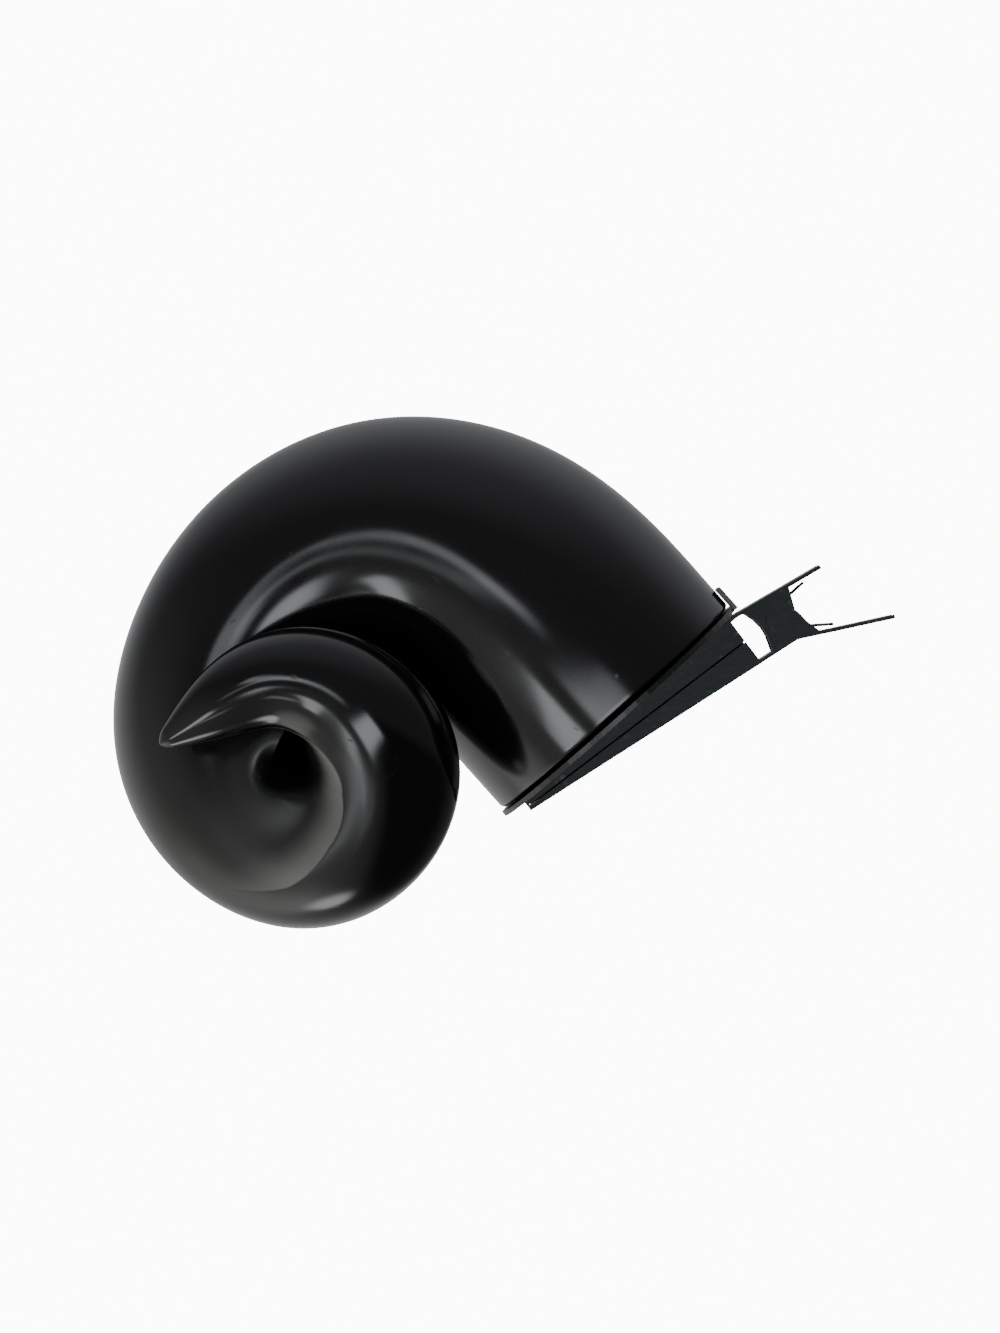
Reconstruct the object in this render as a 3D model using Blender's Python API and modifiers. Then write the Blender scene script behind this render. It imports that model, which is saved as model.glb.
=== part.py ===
"""A clip-on costume horn: a hollow coiled horn on a round plate, with a sprung hair clip behind it.

Run with  blender --background --python part.py  or from Blender's text editor.
World: metres, +Z up, -Y towards the viewer, +X from the horn's coil towards the finger levers.
The origin is where the plate's back sits, in the middle of the horn's base.
"""
import math

import bmesh
import bpy
import numpy as np
from mathutils import Matrix, Vector

# Horn
BASE_DIAMETER = 0.049      # the tube's own width where it meets the plate
WALL = 0.0016              # thickness of the moulded shell
LEAN = math.radians(41.8)  # the horn leaves the head this far from upright
TILT = math.radians(9.0)   # and leans this far towards the viewer
MOUTH_ROUND = 0.0008       # rounding of the rim at the mouth
TIP_LENGTH = 0.0016        # rounded end beyond the last row
HORN_RINGS = 66
HORN_SIDES = 28
HOLLOW_RINGS = 54
HOLLOW_SIDES = 20
HOLLOW_END = 0.93          # share of the horn's length where the hollow stops
RIM_STEPS = (0.0, 0.25, 0.6, 1.0)    # places of the rings on the rounded rim, as shares of it
TIP_STEPS = (0.7, 0.4, 0.15, 0.0)    # places of the rings on the rounded tip, counted from its end
RIM_CLEAR = 3              # the even rings start this many rim roundings from the mouth
TIP_BLUNT = 0.9            # share of the quarter circle that the tip's rounding runs through

# The horn's centre line and width, as shares of BASE_DIAMETER.
# Columns: across (towards -X), up, forward (towards -Y), girth (the tube's diameter).
HORN_SHARES = (
    (0.000, 0.000, 0.000, 1.000),
    (0.195, 0.220, 0.040, 1.000),
    (0.440, 0.430, 0.070, 0.965),
    (0.750, 0.510, 0.085, 0.895),
    (1.020, 0.415, 0.090, 0.830),
    (1.225, 0.175, 0.100, 0.770),
    (1.285, -0.125, 0.130, 0.715),
    (1.175, -0.350, 0.180, 0.650),
    (0.990, -0.455, 0.245, 0.575),
    (0.820, -0.405, 0.330, 0.530),
    (0.735, -0.235, 0.420, 0.515),
    (0.785, -0.085, 0.500, 0.470),
    (0.900, 0.010, 0.550, 0.400),
    (1.075, 0.030, 0.590, 0.320),
    (1.270, -0.065, 0.620, 0.205),
    (1.425, -0.170, 0.635, 0.040),
)

# Gaps and sheet
GAP = 0.0003               # left between pieces that are glued, pressed or hinged together
SHEET = 0.0006             # thickness of the clip's bent sheet metal
WELD = 0.000001            # points of a shaped curve nearer than this are one point

# Base plate
PLATE_DIAMETER = 0.050
PLATE_THICKNESS = 0.0008
PLATE_STEPS = 64
PLATE_RINGS = 3            # rings of faces between the plate's middle and its rim
LUG_WIDTH = 0.008
LUG_HEIGHT = 0.0036        # how far the folded lug stands up beside the horn
LUG_FOOT = 0.003

# Clip, in the clip's own frame: the origin is on the hinge pin, +X runs to the finger levers
# and +Z to the arm that is fixed under the plate
PIVOT_ALONG = 0.0281       # from the plate's middle to the pin, along the plate
PIVOT_DROP = 0.0053        # from the plate's back to the pin
JAW_TIP_ALONG = 0.0215     # from the plate's middle to the jaws' tip, the other way
JAW_TIP_DROP = 0.0012      # from the plate's back to the line where the jaws meet at their tip
JAW_HALF = 0.0040          # half the width of the jaws and finger levers
FLANGE_BACK = 0.0055       # where the jaws' side flanges stop, before the pin
LEVER_LENGTH = 0.016
NECK_STEP = 0.00005        # the moving arm's waist is this much wider than its ears, each side
FIXED_BEND = 0.0044        # where the fixed arm bends into its lever, before the pin
FIXED_LEVER = math.radians(7.1)    # how far the fixed lever leans in towards the middle
MOVING_BEND = -0.0015      # where the moving arm bends, beyond the pin
MOVING_LEVER = math.radians(-25.0)  # how far the moving lever leans in; minus is outwards
PIN_RADIUS = 0.0005
HOLE_RADIUS = 0.00058
HEAD_RADIUS = 0.0011
HEAD_THICKNESS = 0.00035
ROUND_SIDES = 16

# The ears' outlines in the clip's frame, for an arm above the pin; the moving arm's are mirrored.
# Columns: along, up.
FIXED_EAR = (
    (-0.0030, 0.0039), (-0.0022, 0.0016), (-0.0020, 0.0000), (-0.0014, -0.0014), (0.0000, -0.0020),
    (0.0022, -0.0019), (0.0038, -0.0012), (0.0044, 0.0003), (0.0054, 0.0029),
)
MOVING_EAR = (
    (-0.0030, 0.0042), (-0.0022, 0.0016), (-0.0020, 0.0000), (-0.0014, -0.0014), (0.0000, -0.0020),
    (0.0018, -0.0018), (0.0034, -0.0004), (0.0042, 0.0014), (0.0044, 0.0034), (0.0052, 0.0062),
    (0.0015, 0.0047),
)

# Spring
WIRE_RADIUS = 0.00025
COIL_RADIUS = 0.00125
COIL_TURNS = 3
COIL_LENGTH = 0.0028       # from the first turn's middle to the last one's, along the pin
COIL_STEPS = 14            # points in each turn
WIRE_SIDES = 8
LEG_REACH = 0.0078         # how far both legs reach along the levers

# Finishes: base colour, roughness, metallic
PLASTIC = ((0.012, 0.012, 0.013, 1.0), 0.16, 0.0)
PLATE_METAL = ((0.020, 0.020, 0.021, 1.0), 0.35, 1.0)
CLIP_METAL = ((0.055, 0.056, 0.060, 1.0), 0.25, 1.0)
SPRING_METAL = ((0.30, 0.30, 0.31, 1.0), 0.30, 1.0)

# Out of the head, squared to the plate
OUT = Vector((-math.sin(LEAN) * math.cos(TILT), -math.sin(TILT), math.cos(LEAN) * math.cos(TILT)))
JAW_SPAN = PIVOT_ALONG + JAW_TIP_ALONG
WEDGE = math.atan2(PIVOT_DROP - JAW_TIP_DROP, JAW_SPAN)  # from the plate to the line where the jaws meet


def clear_scene():
    for thing in list(bpy.data.objects):
        bpy.data.objects.remove(thing, do_unlink=True)


def new_collection(name):
    collection = bpy.data.collections.new(name)
    bpy.context.scene.collection.children.link(collection)
    return collection


def material(name, colour, roughness, metallic):
    made = bpy.data.materials.new(name)
    made.use_nodes = True
    shader = made.node_tree.nodes["Principled BSDF"]
    shader.inputs["Base Color"].default_value = colour
    shader.inputs["Roughness"].default_value = roughness
    shader.inputs["Metallic"].default_value = metallic
    made.diffuse_color = colour
    return made


def smooth(mesh):
    mesh.polygons.foreach_set("use_smooth", [True] * len(mesh.polygons))
    mesh.update()


def mesh_object(name, mesh, collection, parent=None):
    thing = bpy.data.objects.new(name, mesh)
    collection.objects.link(thing)
    thing.parent = parent
    return thing


def as_mesh(curve_object, collection):
    """Turns a curve object into a closed mesh object of the same name, in the same place."""
    evaluated = curve_object.evaluated_get(bpy.context.evaluated_depsgraph_get())
    mesh = bpy.data.meshes.new_from_object(evaluated)
    work = bmesh.new()
    work.from_mesh(mesh)
    bmesh.ops.remove_doubles(work, verts=work.verts, dist=WELD)
    bmesh.ops.recalc_face_normals(work, faces=work.faces)
    work.to_mesh(mesh)
    work.free()
    name = curve_object.name
    place = curve_object.matrix_world.copy()
    curve = curve_object.data
    bpy.data.objects.remove(curve_object, do_unlink=True)
    bpy.data.curves.remove(curve)
    thing = mesh_object(name, mesh, collection)
    thing.matrix_world = place
    return thing


def boolean(thing, other, operation):
    step = thing.modifiers.new(operation.lower() + "_" + other.name, "BOOLEAN")
    step.operation = operation
    step.object = other
    step.solver = "EXACT"


def as_cutter(thing):
    thing.hide_render = True
    thing.display_type = "WIRE"
    return thing


def bends(along, rows, first_slope):
    """Second derivatives of the cubic spline through rows, with a set slope first and a free end."""
    steps = np.diff(along)
    slopes = np.diff(rows, axis=0) / steps[:, None]
    size = len(along)
    system = np.zeros((size, size))
    known = np.zeros_like(rows)
    system[0, :2] = 2 * steps[0], steps[0]
    known[0] = 6 * (slopes[0] - first_slope)
    for row in range(1, size - 1):
        system[row, row - 1] = steps[row - 1]
        system[row, row] = 2 * (steps[row - 1] + steps[row])
        system[row, row + 1] = steps[row]
        known[row] = 6 * (slopes[row] - slopes[row - 1])
    system[-1, -1] = 1.0
    return np.linalg.solve(system, known)


def spline(along, rows, first_slope, wanted):
    """Values at the wanted places of the cubic spline through rows."""
    bend = bends(along, rows, first_slope)
    left = np.clip(np.searchsorted(along, wanted, side="right") - 1, 0, len(along) - 2)
    step = (along[left + 1] - along[left])[:, None]
    far = (along[left + 1] - wanted)[:, None] / step
    near = 1.0 - far
    curved = (far ** 3 - far) * bend[left] + (near ** 3 - near) * bend[left + 1]
    return far * rows[left] + near * rows[left + 1] + curved * step ** 2 / 6


def horn_line(places):
    """Centre points and radii of the horn at the given shares of its length."""
    table = np.array(HORN_SHARES)
    points = table[:, :3] * (-BASE_DIAMETER, BASE_DIAMETER, -BASE_DIAMETER)
    rows = np.column_stack((points[:, 0], points[:, 2], points[:, 1], table[:, 3] * BASE_DIAMETER / 2))
    along = np.concatenate(([0.0], np.cumsum(np.linalg.norm(np.diff(rows[:, :3], axis=0), axis=1))))
    first_slope = np.array((*OUT, 0.0))
    found = spline(along, rows, first_slope, places * along[-1])
    return found[:, :3], found[:, 3], along[-1]


def tube(name, centres, radii, sides, collection):
    """A round tube of changing width along a line of points, as a curve with filled ends."""
    curve = bpy.data.curves.new(name, "CURVE")
    curve.dimensions = "3D"
    curve.twist_mode = "MINIMUM"
    curve.bevel_depth = BASE_DIAMETER / 2
    curve.bevel_resolution = sides // 2 - 2
    curve.use_fill_caps = True
    line = curve.splines.new("POLY")
    line.points.add(len(centres) - 1)
    for point, centre, radius in zip(line.points, centres, radii):
        point.co = (*centre, 1.0)
        point.radius = radius / curve.bevel_depth
    thing = bpy.data.objects.new(name, curve)
    collection.objects.link(thing)
    bpy.context.view_layer.update()
    return as_mesh(thing, collection)


def rounded_ends(places, radii, length):
    """Narrows the radii at the mouth's rim and at the tip, each by a quarter circle."""
    from_mouth = np.clip(places * length / MOUTH_ROUND, 0.0, 1.0)
    rim = MOUTH_ROUND * (1.0 - np.sqrt(1.0 - (1.0 - from_mouth) ** 2))
    from_tip = np.clip((1.0 - places) * length / TIP_LENGTH, 0.0, 1.0)
    return (radii - rim) * np.sqrt(1.0 - TIP_BLUNT * (1.0 - from_tip) ** 2)


def build_horn(parts, cutters, parent):
    """The coiled shell, open at the mouth."""
    length = horn_line(np.zeros(1))[2]
    rim = np.array(RIM_STEPS) * MOUTH_ROUND / length
    tip = 1.0 - np.array(TIP_STEPS) * TIP_LENGTH / length
    body = np.linspace(0.0, 1.0, HORN_RINGS)
    body = body[(body > RIM_CLEAR * MOUTH_ROUND / length) & (body < 1.0 - TIP_LENGTH / length)]
    places = np.concatenate((rim, body, tip))
    centres, radii, length = horn_line(places)
    shell = tube("horn_shell", centres, rounded_ends(places, radii, length), HORN_SIDES, parts)

    places = np.linspace(0.0, HOLLOW_END, HOLLOW_RINGS)
    centres, radii, length = horn_line(places)
    radii = radii - WALL
    centres = np.vstack((centres[0] - np.array(OUT) * WALL, centres))
    radii = np.concatenate((radii[:1], radii))
    hollow = as_cutter(tube("horn_hollow", centres, radii, HOLLOW_SIDES, cutters))
    boolean(shell, hollow, "DIFFERENCE")
    smooth(shell.data)
    smooth(hollow.data)
    for thing in (shell, hollow):
        thing.parent = parent
    shell.data.materials.append(material("horn_plastic", *PLASTIC))
    return shell


def outline(name, points, middle, thickness, collection, parent):
    """A flat outline in the XZ plane, thickened along Y about the middle given."""
    curve = bpy.data.curves.new(name, "CURVE")
    curve.dimensions = "2D"
    curve.fill_mode = "BOTH"
    curve.extrude = thickness / 2
    line = curve.splines.new("POLY")
    line.points.add(len(points) - 1)
    for point, (along, up) in zip(line.points, points):
        point.co = (along, up, 0.0, 1.0)
    line.use_cyclic_u = True
    thing = bpy.data.objects.new(name, curve)
    collection.objects.link(thing)
    thing.rotation_euler = (math.pi / 2, 0.0, 0.0)
    bpy.context.view_layer.update()
    thing = as_mesh(thing, collection)
    thing.data.transform(thing.matrix_world)
    thing.matrix_world = Matrix.Translation((0.0, middle, 0.0))
    thing.parent = parent
    return thing


def build_plate(parts, cutters, seat):
    """The round plate that closes the mouth, with its lug folded up beside the horn."""
    radius = PLATE_DIAMETER / 2
    reaches = [radius * ring / PLATE_RINGS for ring in range(PLATE_RINGS + 1)]
    profile = [(reach, 0.0) for reach in reaches]
    profile += [(reach, PLATE_THICKNESS) for reach in reversed(reaches)]
    work = bmesh.new()
    corners = [work.verts.new((reach, 0.0, up)) for reach, up in profile]
    for first, second in zip(corners, corners[1:]):
        work.edges.new((first, second))
    mesh = bpy.data.meshes.new("base_plate")
    work.to_mesh(mesh)
    work.free()
    plate = mesh_object("base_plate", mesh, parts, seat)
    turn = plate.modifiers.new("turn", "SCREW")
    turn.axis = "Z"
    turn.steps = PLATE_STEPS
    turn.render_steps = PLATE_STEPS
    turn.use_merge_vertices = True
    turn.merge_threshold = WELD
    turn.use_normal_calculate = True
    turn.use_smooth_shade = False

    inner = BASE_DIAMETER / 2 + GAP
    outer = inner + SHEET
    top = PLATE_THICKNESS + LUG_HEIGHT
    foot = inner - LUG_FOOT
    lug = outline("plate_lug", (
        (foot, 0.0), (outer, 0.0), (outer, top), (inner, top), (inner, PLATE_THICKNESS),
        (foot, PLATE_THICKNESS)), 0.0, LUG_WIDTH, cutters, seat)
    boolean(plate, as_cutter(lug), "UNION")
    plate.data.materials.append(material("plate_metal", *PLATE_METAL))
    return plate


def arm_corners(bend, lever):
    """Outer corners of an arm's bent strip above the middle line: jaw tip, bend, lever end."""
    tip = Vector((-JAW_SPAN, GAP / 2 + SHEET))
    turn = Vector((-bend, tip.y + (-bend - tip.x) * math.tan(WEDGE)))
    end = turn + Vector((math.cos(lever), -math.sin(lever))) * LEVER_LENGTH
    return tip, turn, end


def sheet_outline(tip, turn, end):
    """Side view of a bent strip: its three outer corners and the same three one sheet further in."""
    first = (turn - tip).normalized()
    second = (end - turn).normalized()
    middle = (first + second).normalized()
    mitre = SHEET / middle.dot(first)
    inner = [corner + Vector((line.y, -line.x)) * depth for corner, line, depth in (
        (end, second, SHEET), (turn, middle, mitre), (tip, first, SHEET))]
    return [tip, turn, end] + inner


def build_arm(name, bend, lever, ear, ear_half, side, parts, cutters, pivot):
    """One arm of the clip: a bent strip with side flanges on its jaw and ears with holes.

    side is 1 for the arm above the middle line and -1 for the arm below it.
    """
    tip, turn, end = arm_corners(bend, lever)

    def piece(label, points, middle, thickness):
        placed = [(point[0], point[1] * side) for point in points]
        return as_cutter(outline(name + label, placed, middle, thickness, cutters, pivot))

    strip = outline(name, [(point.x, point.y * side) for point in sheet_outline(tip, turn, end)],
                    0.0, 2 * JAW_HALF, parts, pivot)
    front = tip.x + SHEET
    rise = math.tan(WEDGE)
    flange = (
        (front, GAP / 2), (-FLANGE_BACK, GAP / 2),
        (-FLANGE_BACK, tip.y - SHEET / 2 + (-FLANGE_BACK - tip.x) * rise),
        (front, tip.y - SHEET / 2 + SHEET * rise),
    )
    for sign, label in ((-1, "_near"), (1, "_far")):
        middle = sign * (JAW_HALF - SHEET / 2)
        boolean(strip, piece("_flange" + label, flange, middle, SHEET), "UNION")
        if ear_half < JAW_HALF:
            neck = ear_half + NECK_STEP
            past = max(along for along, up in ear) + GAP
            waist = ((-FLANGE_BACK, 0.0), (past, 0.0), (past, LEVER_LENGTH), (-FLANGE_BACK, LEVER_LENGTH))
            middle = sign * (neck + JAW_HALF) / 2 + sign * SHEET
            cut = piece("_waist" + label, waist, middle, JAW_HALF - neck + 2 * SHEET)
            boolean(strip, cut, "DIFFERENCE")
        middle = sign * (ear_half - SHEET / 2)
        boolean(strip, piece("_ear" + label, ear, middle, SHEET), "UNION")
    hole = round_bar(name + "_hole", HOLE_RADIUS, 3 * JAW_HALF, cutters, pivot)
    boolean(strip, as_cutter(hole), "DIFFERENCE")
    strip.data.materials.append(material(name + "_metal", *CLIP_METAL))


def round_bar(name, radius, length, collection, parent):
    """A cylinder along Y."""
    work = bmesh.new()
    bmesh.ops.create_cone(work, cap_ends=True, segments=ROUND_SIDES, radius1=radius, radius2=radius,
                          depth=length)
    bmesh.ops.rotate(work, verts=work.verts, matrix=Matrix.Rotation(math.pi / 2, 3, "X"))
    mesh = bpy.data.meshes.new(name)
    work.to_mesh(mesh)
    work.free()
    smooth(mesh)
    return mesh_object(name, mesh, collection, parent)


def build_pin(parts, cutters, pivot):
    """The hinge pin, with a flat head beyond each outer ear."""
    inner = JAW_HALF + GAP / 2
    pin = round_bar("clip_pin", PIN_RADIUS, 2 * inner + HEAD_THICKNESS, parts, pivot)
    for sign in (-1, 1):
        head = round_bar("pin_head_" + str(sign), HEAD_RADIUS, HEAD_THICKNESS, cutters, pivot)
        head.location.y = sign * (inner + HEAD_THICKNESS / 2)
        boolean(pin, as_cutter(head), "UNION")
    pin.data.materials.append(material("pin_metal", *CLIP_METAL))
    return pin


def leg_start(target, side):
    """Angle round the pin where a straight leg to the target leaves the coil."""
    bearing = math.atan2(target.y, target.x)
    return bearing + side * math.acos(COIL_RADIUS / target.length)


def build_spring(parts, pivot):
    """A torsion spring: one leg under each finger lever, and turns round the pin between them."""
    clear = GAP + WIRE_RADIUS
    fixed_turn = arm_corners(FIXED_BEND, FIXED_LEVER)[1]
    moving_turn = arm_corners(MOVING_BEND, MOVING_LEVER)[1]

    def under(turn, lever):
        drop = (SHEET + clear) / math.cos(lever)
        return Vector((LEG_REACH, turn.y - (LEG_REACH - turn.x) * math.tan(lever) - drop))

    upper = under(fixed_turn, FIXED_LEVER)
    lower = under(moving_turn, MOVING_LEVER)
    lower.y = -lower.y
    first = leg_start(upper, 1)
    last = leg_start(lower, -1) + 2 * math.pi * (COIL_TURNS + 1)
    count = COIL_TURNS * COIL_STEPS + 1
    angles = np.linspace(first, last, count)
    half = COIL_LENGTH / 2
    offsets = np.linspace(-half, half, count)
    coil = np.column_stack((COIL_RADIUS * np.cos(angles), offsets, COIL_RADIUS * np.sin(angles)))
    points = np.vstack(((upper.x, -half, upper.y), coil, (lower.x, half, lower.y)))
    radii = np.full(len(points), WIRE_RADIUS)
    spring = tube("clip_spring", points, radii, WIRE_SIDES, parts)
    spring.parent = pivot
    smooth(spring.data)
    spring.data.materials.append(material("spring_metal", *SPRING_METAL))
    return spring


def build():
    clear_scene()
    parts = new_collection("costume_horn")
    cutters = new_collection("cutters")
    seat = bpy.data.objects.new("seat", None)
    parts.objects.link(seat)
    seat.rotation_euler = (TILT, -LEAN, 0.0)
    mouth = bpy.data.objects.new("mouth", None)
    parts.objects.link(mouth)
    mouth.location = OUT * (PLATE_THICKNESS + GAP)
    pivot = bpy.data.objects.new("pivot", None)
    parts.objects.link(pivot)
    pivot.parent = seat
    pivot.location = (PIVOT_ALONG, 0.0, -PIVOT_DROP)
    pivot.rotation_euler = (0.0, WEDGE, 0.0)
    build_horn(parts, cutters, mouth)
    build_plate(parts, cutters, seat)
    build_arm("clip_upper_arm", FIXED_BEND, FIXED_LEVER, FIXED_EAR, JAW_HALF, 1,
              parts, cutters, pivot)
    build_arm("clip_lower_arm", MOVING_BEND, MOVING_LEVER, MOVING_EAR, JAW_HALF - SHEET - GAP, -1,
              parts, cutters, pivot)
    build_pin(parts, cutters, pivot)
    build_spring(parts, pivot)
    bpy.context.view_layer.update()


build()
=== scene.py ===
"""Looks of the clip-on costume horn: fine surfaces, materials, studio light and camera.

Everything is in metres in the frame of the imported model: +Z up, -Y towards the viewer.
"""
import math

import bpy
import numpy as np
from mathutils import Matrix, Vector


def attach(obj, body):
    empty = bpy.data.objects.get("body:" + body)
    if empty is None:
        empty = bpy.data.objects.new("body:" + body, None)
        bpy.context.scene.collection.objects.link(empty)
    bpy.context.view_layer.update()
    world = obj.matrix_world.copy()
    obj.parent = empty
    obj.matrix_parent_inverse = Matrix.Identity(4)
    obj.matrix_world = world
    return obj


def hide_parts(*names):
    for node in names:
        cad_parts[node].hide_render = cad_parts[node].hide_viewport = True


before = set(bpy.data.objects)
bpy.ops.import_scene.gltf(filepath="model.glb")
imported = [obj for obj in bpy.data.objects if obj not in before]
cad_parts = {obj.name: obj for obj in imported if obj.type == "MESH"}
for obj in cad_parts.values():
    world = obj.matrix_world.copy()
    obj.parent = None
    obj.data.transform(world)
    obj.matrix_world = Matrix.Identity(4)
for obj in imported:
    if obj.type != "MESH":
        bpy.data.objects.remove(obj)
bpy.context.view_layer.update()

# Horn, as in the model's source
BASE_DIAMETER = 0.049
WALL = 0.0016
LEAN = math.radians(41.8)
TILT = math.radians(9.0)
MOUTH_ROUND = 0.0008
TIP_LENGTH = 0.0016
HOLLOW_END = 0.93          # share of the horn's length where the hollow ends
PLATE_THICKNESS = 0.0008
GAP = 0.0003               # between the plate and the horn's mouth
# Columns: across (towards -X), up, forward (towards -Y), girth; shares of BASE_DIAMETER.
HORN_ROWS = np.array((
    (0.000, 0.000, 0.000, 1.000),
    (0.195, 0.220, 0.040, 1.000),
    (0.440, 0.430, 0.070, 0.965),
    (0.750, 0.510, 0.085, 0.895),
    (1.020, 0.415, 0.090, 0.830),
    (1.225, 0.175, 0.100, 0.770),
    (1.285, -0.125, 0.130, 0.715),
    (1.175, -0.350, 0.180, 0.650),
    (0.990, -0.455, 0.245, 0.575),
    (0.820, -0.405, 0.330, 0.530),
    (0.735, -0.235, 0.420, 0.515),
    (0.785, -0.085, 0.500, 0.470),
    (0.900, 0.010, 0.550, 0.400),
    (1.075, 0.030, 0.590, 0.320),
    (1.270, -0.065, 0.620, 0.205),
    (1.425, -0.170, 0.635, 0.040),
))
HORN_RINGS = 360
HORN_SIDES = 192
HOLLOW_RINGS = 60
ROUND_RINGS = 9            # rings round the mouth's rim and over the tip
TIP_LEAST = 0.02           # share of the radius that is left at the tip's pole
HOLLOW_LEAST = 0.0004      # radius at the hollow's narrowest
CROWDING = 0.6             # how much closer the columns stand at the ridge; 0 spaces them evenly

# Ridge that runs from under the coil across the front of the last turn to the tip's lower edge.
# Columns: share of the horn's length, degrees round the tube from its front to the coil's middle.
RIDGE_ROWS = np.array((
    (0.55, -75.0),
    (0.60, -58.0),
    (0.65, -35.0),
    (0.69, -8.0),
    (0.75, 22.0),
    (0.80, 42.0),
    (0.86, 66.0),
    (0.92, 78.0),
    (1.00, 84.0),
))
RIDGE_GROWS = 0.17         # share of the horn's length over which the ridge rises from nothing
RIDGE_FOOT = 15.0          # degrees over which the surface climbs to the ridge
RIDGE_LIFT = 0.015         # share of the radius
WALL_WIDTH = 42.0          # degrees over which the wall inside the ridge falls away
WALL_DROP = 0.075          # share of the radius
WALL_BACK = 75.0           # degrees over which it comes back to the round section

# The coil's inner face follows a ball, from the left of the coil round below to the last turn.
BALL_MIDDLE = np.array((-0.0475, 0.0, -0.0098))
BALL_RADIUS = 0.0280
BALL_SOFT = 0.0005         # distance over which the tube and the ball run into each other
# Columns: share of the horn's length, share of the ball that is taken on.
BALL_ROWS = np.array(((0.46, 0.0), (0.54, 1.0), (0.67, 1.0), (0.73, 0.0)))
BALL_SIDES = (-60.0, -10.0, 60.0, 110.0)    # degrees from the front: grows from, full, full to, gone
NAVEL = np.array((-0.0524, -0.0111))        # x and z of its middle
NAVEL_WIDTH = 0.0026
NAVEL_DEPTH = 0.005

# Where the plastic is duller, and where a painted highlight, a light grey band, lies along the ridge's
# inner wall. A pair is where that starts or stops, and over how much, in shares of the horn's length.
DULL_STARTS = (0.50, 0.10)
DULL_STOPS = (0.88, 0.08)
DULL_BEFORE = 38.0         # degrees before the ridge where the unpolished face begins
HIGHLIGHT_STARTS = (0.60, 0.06)
HIGHLIGHT_STOPS = (0.99, 0.04)
HIGHLIGHT_WIDTH = 32.0          # degrees past the ridge over which the painted highlight lies
HIGHLIGHT_EDGE = 1.5            # degrees over which it sets in at the ridge
HIGHLIGHT_THINS = (0.76, 0.08)
HIGHLIGHT_THINNED = 0.7         # share of the painted highlight band's width that is lost there

# Out of the head, square to the horn's mouth
OUT = np.array((-math.sin(LEAN) * math.cos(TILT), -math.sin(TILT), math.cos(LEAN) * math.cos(TILT)))
DEPTH = np.array((0.0, 1.0, 0.0))          # away from the viewer


def closed_grid(name, rings):
    """Mesh of rings[i, j], j going round; both ends are closed by a pole at the end ring's middle."""
    rows, sides = rings.shape[:2]
    points = np.vstack((rings.reshape(-1, 3), rings[0].mean(0), rings[-1].mean(0)))
    row = np.arange(rows - 1)[:, None] * sides
    here = np.arange(sides)[None, :]
    after = (here + 1) % sides
    corners = (row + here, row + after, row + after + sides, row + here + sides)
    quads = np.stack(corners, -1).reshape(-1, 4)
    around = np.arange(sides)
    onwards = (around + 1) % sides
    last = (rows - 1) * sides
    first_pole = np.full(sides, rows * sides)
    first = np.stack((onwards, around, first_pole), -1)
    end = np.stack((last + around, last + onwards, first_pole + 1), -1)
    loops = np.concatenate((quads.ravel(), first.ravel(), end.ravel()))
    sizes = np.concatenate((np.full(len(quads), 4), np.full(2 * sides, 3)))
    mesh = bpy.data.meshes.new(name)
    mesh.vertices.add(len(points))
    mesh.vertices.foreach_set("co", points.astype(np.float32).ravel())
    mesh.loops.add(len(loops))
    mesh.loops.foreach_set("vertex_index", loops.astype(np.int32))
    mesh.polygons.add(len(sizes))
    starts = np.concatenate(([0], np.cumsum(sizes)[:-1]))
    mesh.polygons.foreach_set("loop_start", starts.astype(np.int32))
    mesh.polygons.foreach_set("use_smooth", np.ones(len(sizes), dtype=bool))
    mesh.update(calc_edges=True)
    mesh.validate()
    return mesh


def piece(name, mesh, body, slot, material, *nodes):
    """Object of a finished mesh that rides a body and stands for the named CAD nodes."""
    made = bpy.data.objects.new(name, mesh)
    bpy.context.scene.collection.objects.link(made)
    mesh.materials.append(material)
    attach(made, body)
    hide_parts(*nodes)


def spline(rows, first_slope, wanted):
    """Cubic spline through rows, spaced by the length of their first three columns.

    wanted holds shares of the whole length; returns the values there and that length.
    """
    steps = np.linalg.norm(np.diff(rows[:, :3], axis=0), axis=1)
    along = np.concatenate(([0.0], np.cumsum(steps)))
    slopes = np.diff(rows, axis=0) / steps[:, None]
    size = len(along)
    system = np.zeros((size, size))
    known = np.zeros_like(rows)
    system[0, :2] = 2 * steps[0], steps[0]
    known[0] = 6 * (slopes[0] - first_slope)
    for row in range(1, size - 1):
        system[row, row - 1:row + 2] = steps[row - 1], 2 * (steps[row - 1] + steps[row]), steps[row]
        known[row] = 6 * (slopes[row] - slopes[row - 1])
    system[-1, -1] = 1.0
    bend = np.linalg.solve(system, known)
    place = wanted * along[-1]
    left = np.clip(np.searchsorted(along, place, side="right") - 1, 0, size - 2)
    step = steps[left][:, None]
    far = (along[left + 1] - place)[:, None] / step
    near = 1.0 - far
    curved = (far ** 3 - far) * bend[left] + (near ** 3 - near) * bend[left + 1]
    return far * rows[left] + near * rows[left + 1] + curved * step ** 2 / 6, along[-1]


def horn_line(places):
    """Centre points and radii of the horn at shares of its length, and the length."""
    rows = np.column_stack((-HORN_ROWS[:, 0], -HORN_ROWS[:, 2], HORN_ROWS[:, 1], HORN_ROWS[:, 3] / 2))
    found, length = spline(rows * BASE_DIAMETER, np.append(OUT, 0.0), places)
    return found[:, :3] + OUT * (PLATE_THICKNESS + GAP), found[:, 3], length


def smooth_step(value):
    """0 up to 0, 1 from 1 on, and 3 v^2 - 2 v^3 between."""
    value = np.clip(value, 0.0, 1.0)
    return value * value * (3.0 - 2.0 * value)


def rising(value, place, over):
    """0 before a place, 1 past it and a stretch, smooth over the stretch."""
    return smooth_step((value - place) / over)


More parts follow.
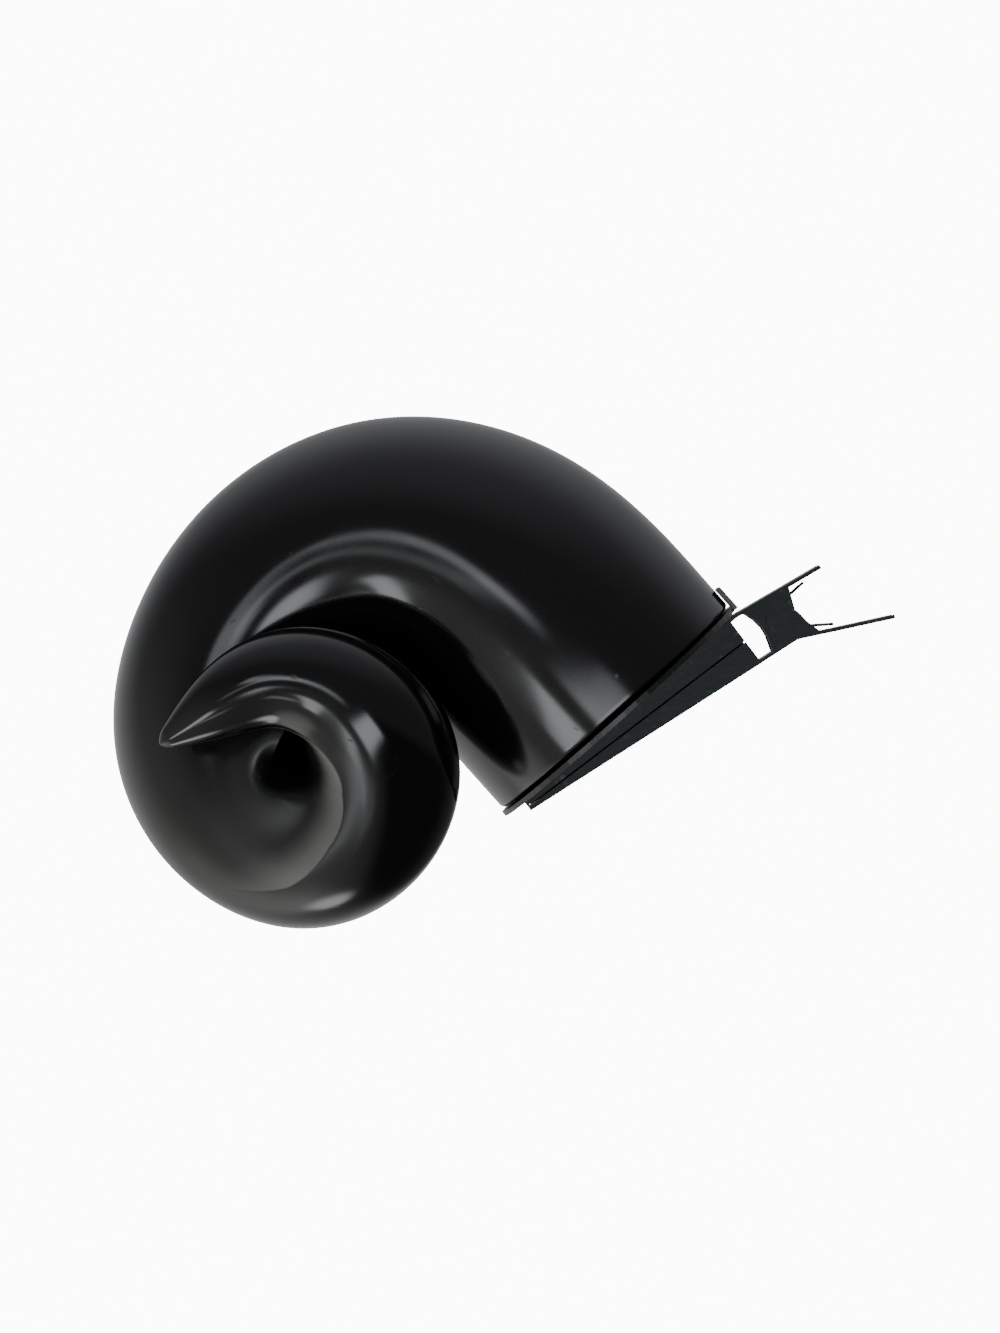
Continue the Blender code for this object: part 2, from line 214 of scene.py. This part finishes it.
def falling(value, place, over):
    """1 until a stretch before a place, 0 past the place, smooth over the stretch."""
    return smooth_step((place - value) / over)


def past_ridge():
    """Degrees from the ridge to each column of the tube, 180 down to -180, crowded near the ridge."""
    even = np.linspace(1.0, -1.0, HORN_SIDES, endpoint=False)
    return 180.0 * (even - CROWDING / math.pi * np.sin(math.pi * even))


def tube_rings(places, centres, radii, shape=1.0):
    """Rings of a tube: centre + radius * shape * (back cos t + inwards sin t).

    back is +Y squared to the line, and inwards is to the left of the line seen from the front.
    t is 180 degrees less the ridge's place and the column's distance past it.
    """
    tangents = np.gradient(centres, axis=0)
    tangents /= np.linalg.norm(tangents, axis=1)[:, None]
    back = DEPTH - tangents * (tangents @ DEPTH)[:, None]
    back /= np.linalg.norm(back, axis=1)[:, None]
    inwards = np.cross(tangents, back)
    ridge = np.interp(places, *RIDGE_ROWS.T)
    turn = np.radians(180.0 - ridge[:, None] - past_ridge()[None])[..., None]
    round_part = np.cos(turn) * back[:, None] + np.sin(turn) * inwards[:, None]
    return centres[:, None] + (radii[:, None] * shape)[..., None] * round_part


def ridge_shape(places):
    """Share of the radius at each place and side: a climb to the ridge, a wall that falls, a return."""
    past = past_ridge()
    climb = RIDGE_LIFT * smooth_step(1.0 + past / RIDGE_FOOT)
    fall = (RIDGE_LIFT + WALL_DROP) * (1.0 - np.clip(1.0 - past / WALL_WIDTH, 0.0, 1.0) ** 2)
    fall[past < 0.0] = 0.0
    back = WALL_DROP * smooth_step((past - WALL_WIDTH) / WALL_BACK)
    grown = smooth_step((places - RIDGE_ROWS[0, 0]) / RIDGE_GROWS)
    return 1.0 + grown[:, None] * (climb - fall + back)[None]


def follow_ball(places, centres, rings):
    """Push the skin out along its spokes to a ball where that is further out, and sink the navel.

    A spoke runs from the horn's line out through the skin. It leaves the ball at a + sqrt(a^2 + r^2
    - s^2), where a is how far along it the ball's middle lies, s how far its start is from that
    middle, and r the ball's radius. The skin moves out by softness * log(1 + exp(excess /
    softness)), where the excess is how much further out the ball is. The navel is a bell pressed
    towards +Y, depth * exp(-(distance / width)^2).
    """
    spokes = rings - centres[:, None]
    reach = np.linalg.norm(spokes, axis=2)
    ways = spokes / reach[..., None]
    start = centres - BALL_MIDDLE
    ahead = -(ways * start[:, None]).sum(2)
    inside = ahead ** 2 + BALL_RADIUS ** 2 - (start ** 2).sum(1)[:, None]
    ball = ahead + np.sqrt(np.maximum(inside, 0.0))
    further = BALL_SOFT * np.log1p(np.exp(np.clip((ball - reach) / BALL_SOFT, -50.0, 50.0)))
    turned = np.interp(places, *RIDGE_ROWS.T)[:, None] + past_ridge()[None]
    turned = (turned + 180.0) % 360.0 - 180.0
    grows, full, full_to, gone = BALL_SIDES
    amount = smooth_step(np.interp(places, *BALL_ROWS.T))[:, None]
    amount = amount * rising(turned, grows, full - grows) * falling(turned, gone, gone - full_to)
    pushed = rings + ways * (further * amount)[..., None]
    away = np.linalg.norm(pushed[..., ::2] - NAVEL, axis=2) / NAVEL_WIDTH
    pushed[..., 1] += NAVEL_DEPTH * amount * np.exp(-away ** 2)
    return pushed


def horn_mesh():
    """The shell as one closed skin: from the hollow's end out to the mouth, over the rim, to the tip.

    A quarter circle rounds the mouth's outer edge, and a quarter ellipse closes the tip. Two
    numbers at each point of the outer skin say how unpolished the plastic is and how much painted
    highlight it has.
    """
    length = horn_line(np.zeros(1))[2]
    quarter = np.linspace(0.0, math.pi / 2, ROUND_RINGS)
    rim = MOUTH_ROUND * (1 - np.cos(quarter)) / length
    body = np.linspace(rim[-1], 1 - TIP_LENGTH / length, HORN_RINGS)[1:]
    tip = 1 - TIP_LENGTH * (1 - np.sin(quarter[1:])) / length
    places = np.concatenate((rim, body, tip))
    centres, radii, _ = horn_line(places)
    radii[:len(rim)] -= MOUTH_ROUND * (1 - np.sin(quarter))
    radii[-len(tip):] *= np.maximum(np.cos(quarter[1:]), TIP_LEAST)
    outer = follow_ball(places, centres, tube_rings(places, centres, radii, ridge_shape(places)))
    depths = np.linspace(0.0, HOLLOW_END, HOLLOW_RINGS)
    hollow, inner, _ = horn_line(depths)
    thinned = 1 - WALL_DROP * smooth_step(depths / RIDGE_ROWS[0, 0])
    inside = tube_rings(depths, hollow, np.maximum(inner * thinned - WALL, HOLLOW_LEAST))
    mesh = closed_grid("horn", np.vstack((inside[::-1], outer)))
    past = past_ridge()[None]
    share = places[:, None]
    dull = rising(share, *DULL_STARTS) * falling(share, *DULL_STOPS)
    dull = dull * rising(past, -DULL_BEFORE, DULL_BEFORE)
    width = HIGHLIGHT_WIDTH * (1.0 - HIGHLIGHT_THINNED * rising(share, *HIGHLIGHT_THINS))
    # painted highlight: a light grey band just inside the ridge, standing in for the light that wall
    # mirrors
    painted_highlight = rising(share, *HIGHLIGHT_STARTS) * falling(share, *HIGHLIGHT_STOPS)
    painted_highlight = painted_highlight * rising(past, 0.0, HIGHLIGHT_EDGE) * falling(past, width, width)
    for name, amount in (("unpolished", dull), ("painted_highlight_band", painted_highlight)):
        values = np.zeros(len(mesh.vertices), dtype=np.float32)
        values[inside.shape[0] * HORN_SIDES:-2] = amount.ravel()
        mesh.attributes.new(name, "FLOAT", "POINT").data.foreach_set("value", values)
    return mesh


class Value:
    """A shader socket with ordinary arithmetic."""

    def __init__(self, shader, socket):
        self.shader = shader
        self.socket = socket

    def math(self, operation, *others):
        return self.shader.node("ShaderNodeMath", {"operation": operation}, self, *others)

    def __add__(self, other):
        return self.math("ADD", other)

    def __sub__(self, other):
        return self.math("SUBTRACT", other)

    def __mul__(self, other):
        return self.math("MULTIPLY", other)

    def __truediv__(self, other):
        return self.math("DIVIDE", other)

    def __rsub__(self, other):
        return self.shader.node("ShaderNodeMath", {"operation": "SUBTRACT"}, other, self)

    __radd__ = __add__
    __rmul__ = __mul__

    def step(self, low, high):
        """0 below low, 1 above high, smooth between; falls instead if low is above high."""
        return self.shader.node("ShaderNodeMapRange", {"interpolation_type": "SMOOTHSTEP"},
                                self, low, high, 0.0, 1.0)

    def between(self, low, high):
        """The value's 0 to 1 spread over low to high."""
        return low + self * (high - low)


MIX_FACTOR = 0             # the Mix node's sockets for colours
MIX_FIRST = 6
MIX_SECOND = 7
MIX_RESULT = 2


class Shader:
    """A node tree with short ways to add nodes."""

    def __init__(self, tree):
        self.tree = tree
        tree.nodes.clear()

    def node(self, kind, settings=None, *inputs, out=0):
        """A node of a kind; inputs fill its sockets in order, None leaves one as it is."""
        made = self.tree.nodes.new(kind)
        for key, value in (settings or {}).items():
            setattr(made, key, value)
        for socket, value in zip(made.inputs, inputs):
            self.put(socket, value)
        return Value(self, made.outputs[out]) if made.outputs else None

    def put(self, socket, value):
        """Link a value into a socket, or set a number or colour on it."""
        if value is None:
            return
        if isinstance(value, Value):
            self.tree.links.new(value.socket, socket)
        else:
            socket.default_value = value

    def noise(self, place, scale, detail=2.0, roughness=0.5, distortion=0.0):
        """Cloudy noise from 0 to 1, mostly near 0.5; scale is in waves for each unit of the place."""
        made = self.tree.nodes.new("ShaderNodeTexNoise")
        self.put(made.inputs["Vector"], place)
        for name, value in (("Scale", scale), ("Detail", detail), ("Roughness", roughness),
                            ("Distortion", distortion)):
            made.inputs[name].default_value = value
        return Value(self, made.outputs["Fac"])

    def cells(self, place, scale):
        """Distance to the nearest of many scattered points, in cells."""
        made = self.tree.nodes.new("ShaderNodeTexVoronoi")
        self.put(made.inputs["Vector"], place)
        made.inputs["Scale"].default_value = scale
        return Value(self, made.outputs["Distance"])

    def stretched(self, place, scale, turn):
        """The place scaled along each axis and then turned."""
        made = self.tree.nodes.new("ShaderNodeMapping")
        self.put(made.inputs["Vector"], place)
        made.inputs["Rotation"].default_value = turn
        made.inputs["Scale"].default_value = scale
        return Value(self, made.outputs["Vector"])

    def attribute(self, name):
        """A number that the mesh holds at each point."""
        return self.node("ShaderNodeAttribute", {"attribute_name": name}, out="Fac")

    def dot(self, place, way):
        """How far a place lies along a way."""
        settings = {"operation": "DOT_PRODUCT"}
        return self.node("ShaderNodeVectorMath", settings, place, tuple(way), out="Value")

    def colour_mix(self, amount, first, second):
        """The first colour where the amount is 0, the second where it is 1."""
        made = self.tree.nodes.new("ShaderNodeMix")
        made.data_type = "RGBA"
        self.put(made.inputs[MIX_FACTOR], amount)
        self.put(made.inputs[MIX_FIRST], first)
        self.put(made.inputs[MIX_SECOND], second)
        return Value(self, made.outputs[MIX_RESULT])

    def bump(self, height, distance):
        """Normal of a surface raised by height times distance, in metres."""
        made = self.tree.nodes.new("ShaderNodeBump")
        made.inputs["Distance"].default_value = distance
        self.put(made.inputs["Height"], height)
        return Value(self, made.outputs["Normal"])


def new_material(name, **sockets):
    """A Principled material; sockets are names and numbers set on the shader itself.

    Returns the material, its node tree, the Principled node and the place on the piece.
    """
    material = bpy.data.materials.new(name)
    material.use_nodes = True
    shader = Shader(material.node_tree)
    surface = shader.tree.nodes.new("ShaderNodeBsdfPrincipled")
    output = shader.tree.nodes.new("ShaderNodeOutputMaterial")
    shader.tree.links.new(surface.outputs[0], output.inputs[0])
    for key, value in sockets.items():
        surface.inputs[key.replace("_", " ")].default_value = value
    place = shader.node("ShaderNodeTexCoord", out="Object")
    return material, shader, surface, place


# Colours, with an opaque fourth part
HORN_BLACK = (0.0075, 0.0078, 0.0078, 1.0)
HORN_DULL = (0.011, 0.012, 0.0105, 1.0)
# light grey painted along the coil's ridge as a highlight, in place of light mirrored there
HORN_HIGHLIGHT_GREY = (0.20, 0.202, 0.190, 1.0)
DUST = (0.16, 0.155, 0.15, 1.0)
PAINT = (0.012, 0.012, 0.013, 1.0)
PAINT_WORN = (0.035, 0.034, 0.034, 1.0)
CLIP_DARK = (0.011, 0.012, 0.012, 1.0)
CLIP_WORN = (0.040, 0.041, 0.043, 1.0)
WIRE = (0.34, 0.34, 0.35, 1.0)
WIRE_BRIGHT = (0.5, 0.5, 0.5, 1.0)
FLOOR = (0.80, 0.80, 0.795, 1.0)
FLOOR_LIGHTER = (0.83, 0.83, 0.825, 1.0)

# How far dust covers the horn's colour, and what each mark adds to its roughness
DUST_COVER = 0.6
SCRATCH_ROUGH = 0.10
DUST_ROUGH = 0.35
DULL_ROUGH = 0.25
HORN_RELIEF = 0.00012      # height of the horn's slow unevenness
GRAIN_SHARE = 0.012        # share of that for its fine grain
SCRATCH_SHARE = 0.02       # and for its scratches
PAINT_RELIEF = 0.00002     # height of the paint's unevenness
STEEL_RELIEF = 0.000012    # height of the steel's drawn lines


def moulded_plastic():
    """Glossy black moulded plastic with a slight unevenness, hairline scratches and dust.

    Where the mesh says unpolished it is duller, and along the ridge's inner wall a light grey highlight
    is painted on.
    """
    material, shader, surface, place = new_material("horn_gloss", Metallic=0.0, IOR=1.52)
    swell = shader.noise(place, scale=55.0, detail=1.0)
    grain = shader.noise(place, scale=2600.0)
    smudge = shader.noise(place, scale=38.0, detail=4.0, roughness=0.6, distortion=0.6)
    lines = shader.stretched(place, scale=(240.0, 2600.0, 240.0), turn=(0.5, 0.3, 0.9))
    scratch = shader.noise(lines, scale=1.0, detail=1.0).step(0.715, 0.76)
    speck = shader.cells(place, scale=210.0).step(0.075, 0.045)
    dust = speck * shader.noise(place, scale=90.0, detail=1.0).step(0.55, 0.62)
    unpolished = shader.attribute("unpolished")
    # painted highlight along the ridge's inner wall, varied a little by the smudges
    painted_highlight = shader.attribute("painted_highlight_band") * smudge.between(0.7, 1.2)
    colour = shader.colour_mix(unpolished, HORN_BLACK, HORN_DULL)
    colour = shader.colour_mix(painted_highlight, colour, HORN_HIGHLIGHT_GREY)
    colour = shader.colour_mix(DUST_COVER * dust, colour, DUST)
    shader.put(surface.inputs["Base Color"], colour)
    rough = smudge.step(0.35, 0.75).between(0.105, 0.175) + SCRATCH_ROUGH * scratch
    rough = rough + DUST_ROUGH * dust + DULL_ROUGH * unpolished
    shader.put(surface.inputs["Roughness"], rough)
    height = swell + GRAIN_SHARE * grain - SCRATCH_SHARE * scratch
    shader.put(surface.inputs["Normal"], shader.bump(height, HORN_RELIEF))
    return material


def painted_plate():
    """Black painted sheet, a little duller than the horn."""
    material, shader, surface, place = new_material("plate_paint", Metallic=0.0, IOR=1.5)
    peel = shader.noise(place, scale=1500.0)
    wear = shader.noise(place, scale=160.0, detail=4.0, roughness=0.65)
    colour = shader.colour_mix(wear.step(0.62, 0.72), PAINT, PAINT_WORN)
    shader.put(surface.inputs["Base Color"], colour)
    shader.put(surface.inputs["Roughness"], wear.between(0.22, 0.45))
    shader.put(surface.inputs["Normal"], shader.bump(peel, PAINT_RELIEF))
    return material


# The clip's own directions, and the rib pressed along the middle of its arms
LENGTHWAYS = (math.cos(LEAN), 0.0, math.sin(LEAN))
SIDEWAYS = (-math.sin(TILT) * math.sin(LEAN), math.cos(TILT), math.sin(TILT) * math.cos(LEAN))
RIB_HALF = 0.0012          # half the width of its top
RIB_EDGE = 0.0005          # width of its sloping sides
RIB_ENDS = (-0.018, 0.020)  # lengthways, from the origin
RIB_LIFT = 0.00035


def dark_steel(name, base, worn, low, high, ribbed=False):
    """Plated sheet steel with drawn lines along the strip and small worn patches.

    low and high bound its roughness, and ribbed presses a rib along the strip's middle.
    """
    material, shader, surface, place = new_material(name, Metallic=1.0)
    lines = shader.stretched(place, scale=(60.0, 5200.0, 900.0), turn=(0.0, LEAN, 0.0))
    drawn = shader.noise(lines, scale=1.0, detail=3.0)
    patch = shader.noise(place, scale=420.0, detail=4.0, roughness=0.65)
    amount = patch.step(0.60, 0.74) * 0.5 + drawn.step(0.6, 0.8) * 0.25
    shader.put(surface.inputs["Base Color"], shader.colour_mix(amount, base, worn))
    shader.put(surface.inputs["Roughness"], (drawn * 0.5 + patch * 0.5).between(low, high))
    height = STEEL_RELIEF * drawn
    if ribbed:
        along = shader.dot(place, LENGTHWAYS)
        rib = shader.dot(place, SIDEWAYS).math("ABSOLUTE").step(RIB_HALF + RIB_EDGE, RIB_HALF)
        rib = rib * along.step(RIB_ENDS[0] - RIB_EDGE, RIB_ENDS[0] + RIB_EDGE)
        rib = rib * along.step(RIB_ENDS[1] + RIB_EDGE, RIB_ENDS[1] - RIB_EDGE)
        height = height + RIB_LIFT * rib
    shader.put(surface.inputs["Normal"], shader.bump(height, 1.0))
    return material


FLOOR_GLOW = 9.0


def floor_material():
    """Matt white floor whose glow brings it near the backdrop's white."""
    material, shader, surface, place = new_material("floor_matt", Roughness=0.75,
                                                    Emission_Strength=FLOOR_GLOW)
    colour = shader.colour_mix(shader.noise(place, scale=3.0), FLOOR, FLOOR_LIGHTER)
    shader.put(surface.inputs["Base Color"], colour)
    shader.put(surface.inputs["Emission Color"], colour)
    return material


# Studio light that the glossy surfaces mirror. Directions are seen from the horn: azimuth 0 is
# towards the camera and 90 towards +X, all in degrees.
ROOM = 0.17                # strength of the light from everywhere
ROOM_TINT = (0.97, 0.98, 1.05)
# Broad soft glows. Columns: azimuth, elevation, reach of the full glow and of its edge, strength, tint.
GLOWS = (
    (0, 90, 12, 62, 0.26, (0.97, 0.98, 1.05)),
    (180, 25, 40, 85, 0.28, (0.98, 1.00, 1.02)),
    (-140, -25, 28, 60, 0.25, (1.0, 1.0, 1.0)),
    (-80, -38, 28, 75, 0.40, (1.0, 1.03, 0.92)),
    (-100, -58, 8, 30, 1.0, (1.0, 1.0, 0.98)),
    (-164, -77, 4, 12, 4.5, (1.0, 1.0, 1.0)),
)
# Soft-edged windows. Columns: azimuth, elevation, roll, half width, half height, edge, strength.
WINDOW_TINT = (0.95, 0.98, 1.03)
WINDOWS = (
    (-13, -3.5, -33, 8, 0.8, 2.5, 1.5),
    (-10, 3, 41, 8, 1.5, 3.5, 2.8),
    (-27.5, -35.0, -46, 9, 2.8, 3.2, 5.4),
    (9, -16, -38, 13, 5, 5.0, 5.2),
    (-14, -43, 0, 5, 1.0, 3.0, 2.0),
)
# A window's light sets in where a direction's part along the window's own is 0, and is full from:
WINDOW_AHEAD = 0.05
DARK_SIDE = 0.75           # share of the room and glows taken away low on the +X side
DARK_RIGHT = (0.10, 0.35)  # a direction's part along +X where that sets in, and where it is full
DARK_BELOW = (0.08, -0.12)  # and along +Z
BACKDROP = 12.0            # strength of what the camera itself sees behind the horn


def towards(azimuth, elevation):
    """Unit vector from the horn to a direction given in degrees."""
    turn = math.radians(azimuth)
    rise = math.radians(elevation)
    return Vector((math.sin(turn) * math.cos(rise), -math.cos(turn) * math.cos(rise), math.sin(rise)))


def studio_world():
    """World light: a dim room with soft glows and windows, a dark side, and a white backdrop."""
    world = bpy.data.worlds.new("studio")
    bpy.context.scene.world = world
    world.use_nodes = True
    shader = Shader(world.node_tree)
    way = shader.node("ShaderNodeTexCoord", out="Generated")

    def tinted(amount, tint):
        scaled = shader.node("ShaderNodeVectorMath", {"operation": "SCALE"}, tint)
        shader.put(scaled.socket.node.inputs["Scale"], amount)
        return scaled

    def plus(first, second):
        return shader.node("ShaderNodeVectorMath", {"operation": "ADD"}, first, second)

    light = tuple(ROOM * part for part in ROOM_TINT)
    for azimuth, elevation, full, edge, strength, tint in GLOWS:
        ahead = shader.dot(way, towards(azimuth, elevation))
        glow = ahead.step(math.cos(math.radians(edge)), math.cos(math.radians(full))) * strength
        light = plus(light, tinted(glow, tint))
    windows = (0.0, 0.0, 0.0)
    for azimuth, elevation, roll, half_width, half_height, edge, strength in WINDOWS:
        facing = towards(azimuth, elevation)
        right = facing.cross(Vector((0, 0, 1))).normalized()
        up = right.cross(facing)
        lean = math.radians(roll)
        along = right * math.cos(lean) + up * math.sin(lean)
        over = up * math.cos(lean) - right * math.sin(lean)
        ahead = shader.dot(way, facing)
        shape = ahead.step(0.0, WINDOW_AHEAD) * strength
        for axis, half in ((along, half_width), (over, half_height)):
            away = (shader.dot(way, axis) / ahead).math("ABSOLUTE")
            shape = shape * away.step(math.tan(math.radians(half + edge)), math.tan(math.radians(half)))
        windows = plus(windows, tinted(shape, WINDOW_TINT))
    dark = shader.dot(way, (1.0, 0.0, 0.0)).step(*DARK_RIGHT)
    dark = dark * shader.dot(way, (0.0, 0.0, 1.0)).step(*DARK_BELOW)
    seen = shader.node("ShaderNodeLightPath", out="Is Camera Ray")
    mirrored = tinted(1.0 - seen, plus(tinted(1.0 - dark * DARK_SIDE, light), windows))
    light = plus(mirrored, tinted(seen, (BACKDROP,) * 3))
    background = shader.node("ShaderNodeBackground", None, light, 1.0)
    shader.node("ShaderNodeOutputWorld", None, background)


# The camera stands where the photograph's stood, in front, lower than the horn and to its right
CAMERA = Vector((0.0574, -0.905, -0.0889))
AIM = Vector((-0.019, -0.006, 0.007))
LENS = 152.0
CAMERA_SEES = (0.05, 30.0)  # nearest and furthest distance
FLOOR_DROP = 0.24          # from the seat down to the floor
FLOOR_HALF = 6.0


def build_stage():
    """World light, a floor that only the camera sees, and the camera."""
    studio_world()
    mesh = bpy.data.meshes.new("floor")
    signs = ((-1, -1), (1, -1), (1, 1), (-1, 1))
    corners = [(x * FLOOR_HALF, y * FLOOR_HALF, -FLOOR_DROP) for x, y in signs]
    mesh.from_pydata(corners, [], [(0, 1, 2, 3)])
    mesh.materials.append(floor_material())
    floor = bpy.data.objects.new("floor", mesh)
    bpy.context.scene.collection.objects.link(floor)
    floor.visible_glossy = False
    floor.visible_diffuse = False
    camera = bpy.data.cameras.new("camera")
    camera.lens = LENS
    camera.clip_start, camera.clip_end = CAMERA_SEES
    eye = bpy.data.objects.new("camera", camera)
    bpy.context.scene.collection.objects.link(eye)
    eye.location = CAMERA
    eye.rotation_euler = (AIM - CAMERA).to_track_quat("-Z", "Y").to_euler()
    bpy.context.scene.camera = eye


def build():
    """The stage, the horn's fine shell, and the other pieces' materials."""
    build_stage()
    plastic = moulded_plastic()
    plate = painted_plate()
    clip = dark_steel("clip_steel", CLIP_DARK, CLIP_WORN, low=0.20, high=0.36, ribbed=True)
    wire = dark_steel("spring_steel", WIRE, WIRE_BRIGHT, low=0.22, high=0.38)
    piece("horn", horn_mesh(), "horn", "horn", plastic, "horn_shell")
    for node, material in (("base_plate", plate), ("clip_upper_arm", clip), ("clip_lower_arm", clip),
                           ("clip_pin", clip), ("clip_spring", wire)):
        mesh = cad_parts[node].data
        mesh.materials.clear()
        mesh.materials.append(material)


build()
bpy.context.view_layer.update()
